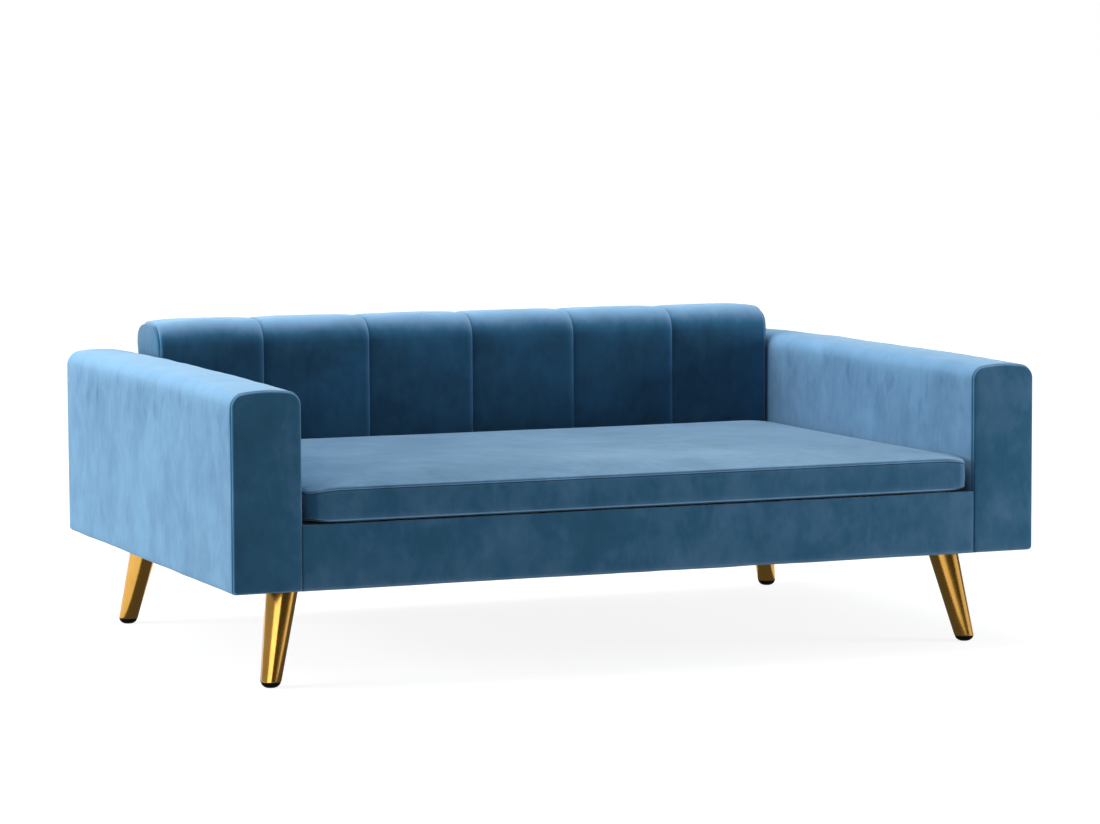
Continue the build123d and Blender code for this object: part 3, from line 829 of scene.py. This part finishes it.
def dust_cover():
    """Black cloth stapled under the frame, snipped round each leg."""
    low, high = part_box("dust_cover")
    arm_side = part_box("right_arm_cover")[0].x
    back_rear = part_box("back_cover")[1].y
    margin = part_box("right_arm_cover")[1].x - high.x
    cloth = divided_sheet("dust_cover_cloth", low, high, dust_cuts)
    notch_half = arm_side + margin
    cutters = [block("notch", (-notch_half, back_rear - margin, 0), (notch_half, notch_rear, notch_top))]
    for corner in corners:
        _, top = leg_centres(corner + "_leg")
        hole = added(bpy.ops.mesh.primitive_cylinder_add, "leg hole", vertices=32, depth=leg_hole_depth,
                     radius=leg_top_radius + leg_hole_gap, location=(top.x, top.y, low.z))
        cutters.append(hole)
    for cutter in cutters:
        finish_with(cloth, "BOOLEAN", object=cutter, operation="DIFFERENCE")
        bpy.data.objects.remove(cutter)

    def sag(place, normal):
        inside = bowl_over(place, low, Vector((high.x, back_rear, high.z)))
        rippled = dust_ripple * inside * unevenness(place, dust_ripple_width)
        return Vector((0, 0, -dust_sag * inside + rippled))

    move_points(cloth, sag)
    smooth(cloth)
    return cloth


# Finishes

class Finish:
    """A procedural material, built up from textures on the object's own coordinates."""

    def __init__(self, name, **values):
        self.material = bpy.data.materials.new(name)
        self.material.use_nodes = True
        self.tree = self.material.node_tree
        self.shader = self.tree.nodes["Principled BSDF"]
        self.place = self.node("ShaderNodeTexCoord").outputs["Object"]
        self.feed(self.shader, **values)

    def node(self, kind, **settings):
        """A new node."""
        node = self.tree.nodes.new(kind)
        for setting, value in settings.items():
            setattr(node, setting, value)
        return node

    def feed(self, node, **values):
        """Sets or links a node's inputs; underscores in the names stand for spaces."""
        for name, value in values.items():
            self.put(node.inputs[name.replace("_", " ")], value)
        return node

    def put(self, socket, value):
        """Links a value to an input, or sets it there."""
        if isinstance(value, bpy.types.NodeSocket):
            self.tree.links.new(value, socket)
        else:
            socket.default_value = value

    def math(self, operation, *values):
        """One step of arithmetic on values."""
        node = self.node("ShaderNodeMath", operation=operation)
        for socket, value in zip(node.inputs, values):
            self.put(socket, value)
        return node.outputs[0]

    def noise(self, scale, detail=3.0, roughness=0.5, stretch=None, distortion=0.0):
        """Noise from 0 to 1, scale features to the metre, stretched per axis."""
        where = self.place
        if stretch:
            mapping = self.feed(self.node("ShaderNodeMapping"), Vector=self.place, Scale=stretch)
            where = mapping.outputs["Vector"]
        node = self.feed(self.node("ShaderNodeTexNoise"), Vector=where, Scale=scale, Detail=detail,
                         Roughness=roughness, Distortion=distortion)
        return node.outputs["Fac"]

    def sum(self, parts, start=0.0):
        """Adds up values, each times its weight."""
        total = start
        for value, weight in parts:
            total = self.math("MULTIPLY_ADD", value, weight, total)
        return total

    def colour(self, value, stops):
        """Colours the surface by a value, through colours written as six hexadecimal digits."""
        node = self.feed(self.node("ShaderNodeValToRGB"), Fac=value)
        points = node.color_ramp.elements
        while len(points) < len(stops):
            points.new(0.5)
        for point, (place, code) in zip(points, stops):
            point.position = place
            point.color = shade(code)
        self.feed(self.shader, Base_Color=node.outputs["Color"])

    def roughness(self, value, least, most):
        """Roughness between two ends by a value."""
        node = self.feed(self.node("ShaderNodeMapRange"), Value=value, To_Min=least, To_Max=most)
        self.feed(self.shader, Roughness=node.outputs["Result"])

    def relief(self, height, distance, strength):
        """Bump on the surface."""
        node = self.feed(self.node("ShaderNodeBump"), Height=height, Distance=distance, Strength=strength)
        self.feed(self.shader, Normal=node.outputs["Normal"])


def shade(code):
    """A colour written as six hexadecimal digits."""
    parts = [int(code[i:i + 2], 16) / 255 for i in (0, 2, 4)]
    return tuple(p / 12.92 if p <= 0.04045 else ((p + 0.055) / 1.055) ** 2.4 for p in parts) + (1.0,)


def blue_velvet(name, sheen, bloom=(0.70, 0.90, 1.0, 1.0)):
    """Short-pile velvet: its colour follows a tone that carries painted light and shade, in patches and small
    strokes, and it blooms at a slant.
    """
    finish = Finish(name, Sheen_Weight=sheen, Sheen_Roughness=0.5, Sheen_Tint=bloom, Specular_IOR_Level=0.12)
    tone_and_light = finish.node("ShaderNodeAttribute", attribute_name="nap").outputs["Fac"]
    rubbed = finish.node("ShaderNodeAttribute", attribute_name="rubbed").outputs["Fac"]
    patches = finish.noise(scale=17, detail=3, roughness=0.55, stretch=(1, 1, 0.85), distortion=0.3)
    strokes = finish.noise(scale=80, detail=2, stretch=(1, 1, 0.6), distortion=0.5)
    pile = finish.noise(scale=1300, detail=1)
    blots = finish.noise(scale=44, detail=2, stretch=(1, 1, 0.5), distortion=0.4)
    smudges = finish.node("ShaderNodeMapRange", interpolation_type="SMOOTHSTEP")
    finish.feed(smudges, Value=blots, From_Min=0.53, From_Max=0.72)
    marks = finish.math("MULTIPLY", rubbed, smudges.outputs["Result"])
    tone = finish.sum([(tone_and_light, tone_and_light_weight), (patches, patch_weight), (strokes, stroke_weight),
                       (marks, mark_weight)], start=tone_start)
    # The darkest colours, below 0.08, are painted shade, reached where the cushion's underside is painted
    # dark
    finish.colour(tone, [(0.0, "05121A"), (0.08, "183F57"), (0.20, "183F57"), (0.46, "2E6485"),
                         (0.632, "5880A3"), (0.72, "648FB1"), (1.0, "7AA8CF")])
    finish.roughness(patches, least=0.80, most=0.95)
    relief = finish.sum([(patches, 0.5), (strokes, 0.12), (pile, 0.012)])
    finish.relief(relief, distance=0.004, strength=0.55)
    return finish.material


def gold_metal():
    """Gold-plated steel, polished, with faint lines from its turning."""
    finish = Finish("polished gold", Metallic=1.0, Coat_Weight=0.6, Coat_Roughness=0.08)
    lines = finish.noise(scale=900, detail=2, stretch=(1, 1, 0.02))
    cloud = finish.noise(scale=30, detail=2)
    mixed = finish.sum([(lines, 0.5), (cloud, 0.5)])
    finish.colour(mixed, [(0.3, "C9953A"), (0.7, "D8A446")])
    finish.roughness(mixed, least=0.13, most=0.22)
    finish.relief(lines, distance=0.00002, strength=0.3)
    return finish.material


def grainy(name, grain, dark, pale, rough, bumps=None, **values):
    """A plain finish whose grain sets its colour, its roughness and, where it has any, its bumps."""
    finish = Finish(name, **values)
    level = finish.noise(**grain)
    finish.colour(level, [(0.3, dark), (0.7, pale)])
    finish.roughness(level, *rough)
    if bumps:
        finish.relief(level, *bumps)
    return finish.material


def black_plastic():
    """Moulded black plastic of the glides."""
    return grainy("black plastic", {"scale": 1200, "detail": 2}, "070708", "0F0F11", rough=(0.32, 0.45),
                  bumps=(0.00005, 0.4), Specular_IOR_Level=0.2)


def frame_wood():
    """Planed pine with long grain."""
    finish = Finish("planed pine")
    grain = finish.noise(scale=180, detail=4, roughness=0.6, stretch=(0.12, 0.12, 1), distortion=0.5)
    tone = finish.noise(scale=9, detail=2)
    mixed = finish.sum([(grain, 0.7), (tone, 0.3)])
    finish.colour(mixed, [(0.35, "B98E5A"), (0.5, "CFA673"), (0.65, "DDBB8C")])
    finish.roughness(grain, least=0.6, most=0.75)
    finish.relief(grain, distance=0.0002, strength=0.5)
    return finish.material


def hardboard():
    """Brown pressed fibre board."""
    fibre = {"scale": 700, "detail": 4, "roughness": 0.6}
    return grainy("pressed fibre board", fibre, "6B4A30", "8A6443", rough=(0.7, 0.85), bumps=(0.0001, 0.5))


def black_lining():
    """Thin black non-woven cloth with pressed dimples."""
    finish = Finish("black lining")
    dimples = finish.feed(finish.node("ShaderNodeTexVoronoi"), Vector=finish.place, Scale=600.0)
    fibre = finish.noise(scale=350, detail=4, roughness=0.6)
    finish.colour(fibre, [(0.3, "17181A"), (0.7, "26282B")])
    finish.roughness(fibre, least=0.85, most=0.95)
    finish.relief(dimples.outputs["Distance"], distance=0.0003, strength=0.5)
    return finish.material


def zinc_steel():
    """Zinc-plated steel of the plates and screws."""
    return grainy("zinc plate", {"scale": 120}, "9EA3A8", "BFC3C6", rough=(0.3, 0.45), Metallic=1.0)


def zip_nylon():
    """Woven tape and nylon coil of the zip."""
    finish = Finish("zip tape")
    bands = finish.node("ShaderNodeTexWave", wave_type="BANDS", bands_direction="DIAGONAL")
    weave = finish.feed(bands, Vector=finish.place, Scale=900.0, Distortion=1.0).outputs["Fac"]
    finish.colour(weave, [(0.2, "1D3D57"), (0.8, "2B5473")])
    finish.roughness(weave, least=0.6, most=0.8)
    finish.relief(weave, distance=0.0002, strength=0.6)
    return finish.material


def zip_metal():
    """Dark plated metal of the zip's slider."""
    return grainy("dark plated metal", {"scale": 500, "detail": 2}, "4A4E54", "5E636A", rough=(0.28, 0.4),
                  Metallic=1.0)


def paint_points(piece, tone_and_light, name="nap"):
    """Writes a value at each point from a function of place and normal: a tone with painted light and shade,
    from 0, dark, to 1, pale, or how much the pile is rubbed.
    """
    nap = piece.data.attributes.new(name, "FLOAT", "POINT")
    for vertex, point in zip(piece.data.vertices, nap.data):
        point.value = tone_and_light(vertex.co, vertex.normal)


def dress(piece, material):
    """Gives a piece its finish."""
    piece.data.materials.clear()
    piece.data.materials.append(material)


# Tones, with painted light and shade

def arm_tone_and_painted_light(place, normal):
    """An arm's tone: painted light over the top, a little paler towards the foot, and painted shade in the
    groove at each end.
    """
    plain, top, foot, groove = arm_tones_and_painted_light
    height = clamped(1 + (place.z - construction_arm_top) / shoulder_light_reach)
    low = clamped((construction_arm_top - place.z) / arm_foot_reach)
    return plain + top * height ** shoulder_light_focus + foot * low + groove * normal.y ** 2


def arm_rub(place, normal):
    """How much an arm's pile is rubbed: most where the side turns into the top."""
    return min(1, rub_least + rub_most * hump(place.z - construction_arm_top + rub_place, rub_width))


def front_tone_and_painted_light(place, normal):
    """The fronts' tone: painted sheen on the rolled rims, along the foot and where they face right, and
    painted light growing to the right.
    """
    plain, rim, rightward, foot, metre = front_tones_and_painted_light
    return (plain + rim * turned_away(normal.y) + rightward * normal.x + foot * max(0, -normal.z)
            + metre * place.x)


def rail_tone_and_painted_light(place, normal):
    """The rail's tone: as on the facings, with more painted light to the right, and painted shade instead of
    a pale rim under the cushion.
    """
    plain, metre, rim = rail_tones_and_painted_light
    under_cushion = turned_away(normal.y) if normal.z > 0 else 0
    return front_tone_and_painted_light(place, normal) + plain + metre * place.x + rim * under_cushion


def end_nap(place, normal):
    """The back's end panels' own tone, the same all over."""
    return end_tone


def back_tone_and_painted_light(place, normal):
    """The back's tone: painted shade down the front, painted sheen where the front faces right, and painted
    light over the roll.
    """
    plain, front, roll, rightward = back_tones_and_painted_light
    facing = max(0, -normal.y)
    return plain + front * facing ** 3 + roll * max(0, normal.z) + rightward * facing * normal.x


def cushion_tone_and_painted_light(place, normal):
    """The cushion's tone: painted light on the top, painted highlights over the seams and the border's foot,
    painted shade on the underside, and painted sheen facing right.
    """
    plain, top, foot, seam, underside, rightward = cushion_tones_and_painted_light
    height = place.z - cushion_underside
    over_welts = (height - cushion_rim_lift - cushion_welts[0], height - cushion_welts[1])
    low = hump(over_welts[0], foot_highlight_width) * (1 - abs(normal.z))
    welt_highlight = sum(strength * hump(over_welt, width)
                  for (strength, width), over_welt in zip(welt_highlights, over_welts))
    below = clamped(underside_shade_steepness * (-normal.z - underside_shade_start))
    return (plain + top * max(0, normal.z) + foot * low + seam * welt_highlight + underside * below
            + rightward * normal.x)


# Studio

def point_camera():
    """The camera at the photograph's place."""
    data = bpy.data.cameras.new("camera")
    data.sensor_width = sensor_width_mm
    data.lens = camera_lens_mm
    data.clip_end = camera_reach
    camera = bpy.data.objects.new("camera", data)
    bpy.context.scene.collection.objects.link(camera)
    turn = (Matrix.Rotation(-camera_turn, 4, "Z") @ Matrix.Rotation(pi / 2 - camera_dip, 4, "X")
            @ Matrix.Rotation(camera_roll, 4, "Z"))
    camera.matrix_world = Matrix.Translation(camera_place) @ turn
    bpy.context.scene.camera = camera


def soft_lamp(name, place, target, size, power):
    """A square soft lamp that looks at a target; polished metal shows the cards instead."""
    data = bpy.data.lights.new(name, "AREA")
    data.shape = "RECTANGLE"
    data.size, data.size_y = size
    data.energy = power
    lamp = bpy.data.objects.new(name, data)
    bpy.context.scene.collection.objects.link(lamp)
    lamp.location = place
    lamp.rotation_euler = (Vector(target) - Vector(place)).to_track_quat("-Z", "Y").to_euler()
    lamp.visible_camera = False
    lamp.visible_glossy = False


def standing_card(name, bearing, distance, width, bottom, top, level):
    """An upright card round the studio; its bearing turns left from the front."""
    turn = radians(bearing)
    place = (-distance * sin(turn), -distance * cos(turn), (bottom + top) / 2)
    card(name, place, (pi / 2, 0, -turn), (width, top - bottom), level)


def card(name, place, rotation, size, level):
    """A card that only polished surfaces show: a painted reflection, which lights nothing and casts no
    shadow.
    """
    board = added(bpy.ops.mesh.primitive_plane_add, name, size=1, location=place, rotation=rotation)
    board.scale = (*size, 1)
    settle(board)
    finish = Finish(name)
    glow = finish.feed(finish.node("ShaderNodeEmission"), Color=white, Strength=level)
    finish.feed(finish.tree.nodes["Material Output"], Surface=glow.outputs[0])
    dress(board, finish.material)
    for kind in ("camera", "diffuse", "shadow", "transmission", "volume_scatter"):
        setattr(board, "visible_" + kind, False)


def seen_rays(tree):
    """1 for the rays that show a backdrop: the camera's, and those off polish and through glass."""
    rays = tree.nodes.new("ShaderNodeLightPath")
    total = rays.outputs["Is Camera Ray"]
    for kind in ("Glossy", "Transmission"):
        node = tree.nodes.new("ShaderNodeMath")
        node.operation = "MAXIMUM"
        tree.links.new(total, node.inputs[0])
        tree.links.new(rays.outputs["Is " + kind + " Ray"], node.inputs[1])
        total = node.outputs[0]
    return total


def sky():
    """An even sky that lights softly and shows as white."""
    world = bpy.data.worlds.new("pale studio")
    bpy.context.scene.world = world
    world.use_nodes = True
    tree = world.node_tree
    even = tree.nodes["Background"]
    even.inputs["Color"].default_value = sky_colour
    even.inputs["Strength"].default_value = sky_strength
    backdrop = tree.nodes.new("ShaderNodeBackground")
    backdrop.inputs["Color"].default_value = white
    mix = tree.nodes.new("ShaderNodeMixShader")
    tree.links.new(seen_rays(tree), mix.inputs["Fac"])
    tree.links.new(even.outputs[0], mix.inputs[1])
    tree.links.new(backdrop.outputs[0], mix.inputs[2])
    tree.links.new(mix.outputs[0], tree.nodes["World Output"].inputs["Surface"])


def pale_floor():
    """A pale floor that turns white further off and keeps the sofa's shadow."""
    floor = added(bpy.ops.mesh.primitive_plane_add, "studio_floor", size=floor_size, location=(0, 0, 0))
    finish = Finish("pale floor", Roughness=0.9, Specular_IOR_Level=0.0)
    finish.colour(finish.noise(scale=2, detail=2), [(0.3, "F4F4F4"), (0.7, "F8F8F8")])
    distance = finish.feed(finish.node("ShaderNodeVectorMath", operation="LENGTH"), Vector=finish.place)
    paling = finish.node("ShaderNodeMapRange", interpolation_type="SMOOTHSTEP")
    finish.feed(paling, Value=distance.outputs["Value"], From_Min=floor_reach[0], From_Max=floor_reach[1],
                To_Min=floor_white[0] / floor_share, To_Max=floor_white[1] / floor_share)
    level = finish.math("MULTIPLY", seen_rays(finish.tree), paling.outputs["Result"])
    glow = finish.feed(finish.node("ShaderNodeEmission"), Strength=level)
    both = finish.feed(finish.node("ShaderNodeMixShader"), Fac=floor_share)
    finish.tree.links.new(finish.shader.outputs[0], both.inputs[1])
    finish.tree.links.new(glow.outputs[0], both.inputs[2])
    finish.feed(finish.tree.nodes["Material Output"], Surface=both.outputs[0])
    dress(floor, finish.material)


def studio():
    """Even sky, pale floor, soft lamps, and cards that the polished legs show as painted reflections."""
    sky()
    pale_floor()
    for lamp in lamps:
        soft_lamp(*lamp)
    for standing in standing_cards:
        standing_card(*standing)
    # A dark card under the sofa: painted shade that only the legs' polish shows
    place, size, level = floor_card
    card("shaded_floor_card", place, (0, 0, 0), size, level)


# The whole sofa

def upholster(piece, velvet, body, nodes):
    """Velvet on a piece that stands for some of the construction's nodes."""
    dress(piece, velvet)
    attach(piece, body)
    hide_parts(*nodes)


def build():
    """Makes every piece and gives it its finish and its body."""
    wrap_velvet = blue_velvet("blue velvet of the arms", sheen=0.37)
    front_velvet = blue_velvet("blue velvet of the fronts", sheen=0.48)
    back_velvet = blue_velvet("blue velvet of the back", sheen=0.43)
    # The ends' copy has a warmer, greyer sheen tint that stands in for warm light reflected there: painted
    # reflection
    end_velvet = blue_velvet("blue velvet of the back's ends", sheen=0.43, bloom=(0.93, 0.95, 0.92, 1.0))
    cushion_velvet = blue_velvet("blue velvet of the cushion", sheen=0.43)
    gold = gold_metal()
    plastic = black_plastic()
    lining = black_lining()

    for node, piece in arms().items():
        side = node.split("_")[0]
        if node.endswith("cover"):
            paint_points(piece, arm_tone_and_painted_light)
            paint_points(piece, arm_rub, "rubbed")
            upholster(piece, wrap_velvet, "sofa", [node, side + "_arm_foam"])
        else:
            paint_points(piece, front_tone_and_painted_light)
            upholster(piece, front_velvet, "sofa", [node])
    rail = front_rail()
    paint_points(rail, rail_tone_and_painted_light)
    upholster(rail, front_velvet, "sofa", ["front_rail_cover", "front_rail_foam"])
    back = back_pad()
    paint_points(back, back_tone_and_painted_light)
    upholster(back, back_velvet, "sofa", ["back_cover", "back_foam"])
    right, left = back_ends()
    for piece, node in ((right, "back_right_end_panel"), (left, "back_left_end_panel")):
        paint_points(piece, end_nap)
        upholster(piece, end_velvet, "sofa", [node])
    pad = cushion()
    paint_points(pad, cushion_tone_and_painted_light)
    upholster(pad, cushion_velvet, "cushion", ["cushion_cover", "cushion_core"])

    for corner in corners:
        tube = leg(corner)
        dress(tube, gold)
        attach(tube, "sofa")
        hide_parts(corner + "_leg")
        dome = glide(corner)
        dress(dome, plastic)
        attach(dome, "sofa")
        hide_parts(corner + "_glide")
    for cloth, node in ((deck_cloth(), "deck_cloth"), (dust_cover(), "dust_cover")):
        dress(cloth, lining)
        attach(cloth, "sofa")
        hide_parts(node)

    finishes = {"frame_wood": frame_wood(), "hardboard": hardboard(), "zinc_steel": zinc_steel(),
                "zip_nylon": zip_nylon(), "zip_metal": zip_metal()}
    for part in frame["record"]["subparts"]:
        node = frame["nodes"][part["node"]]
        if part["material_slot"] in finishes and not node.hide_render:
            dress(node, finishes[part["material_slot"]])


point_camera()
build()
studio()

bpy.context.scene.view_settings.view_transform = "Standard"
